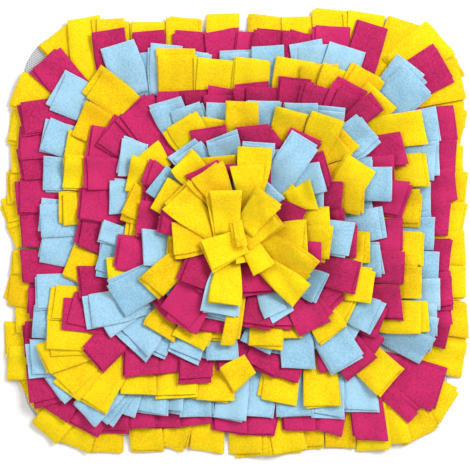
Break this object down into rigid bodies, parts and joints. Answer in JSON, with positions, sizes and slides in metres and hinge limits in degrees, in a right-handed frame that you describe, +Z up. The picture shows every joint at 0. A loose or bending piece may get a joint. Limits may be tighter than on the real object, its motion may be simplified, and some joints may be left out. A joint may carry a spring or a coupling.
{
  "type": "snuffle mat",
  "caption": "Square foraging mat for pets with round corners: concentric rows of folded yellow, pink and blue felt tabs sewn on a light grey mesh backing, rising to a tuft.",
  "frame": {"origin": "on the backing's underside, under the middle of the whole mat's reach", "axes": "+X along the longer side, to the right as the mat is seen from above; +Y to its far side; +Z up, out of the fringe"},
  "size_m": [0.4682, 0.4486, 0.0384],
  "materials": {
    "backing_mesh": "light grey ribbed air mesh",
    "felt_yellow": "soft yellow felt, short nap",
    "felt_pink": "soft deep pink felt, short nap",
    "felt_blue": "soft pale blue felt, short nap"
  },
  "bodies": {
    "root": {"backing": "backing_mesh", "fringe_01_yellow": "felt_yellow", "fringe_02_pink": "felt_pink", "fringe_03_blue": "felt_blue", "fringe_04_yellow": "felt_yellow", "fringe_05_pink": "felt_pink", "fringe_06_blue": "felt_blue", "fringe_07_yellow": "felt_yellow", "fringe_08_pink": "felt_pink", "fringe_09_blue": "felt_blue", "fringe_10_yellow": "felt_yellow", "fringe_11_pink": "felt_pink", "fringe_12_blue": "felt_blue", "fringe_13_yellow": "felt_yellow", "fringe_14_yellow": "felt_yellow"}
  },
  "joints": []
}
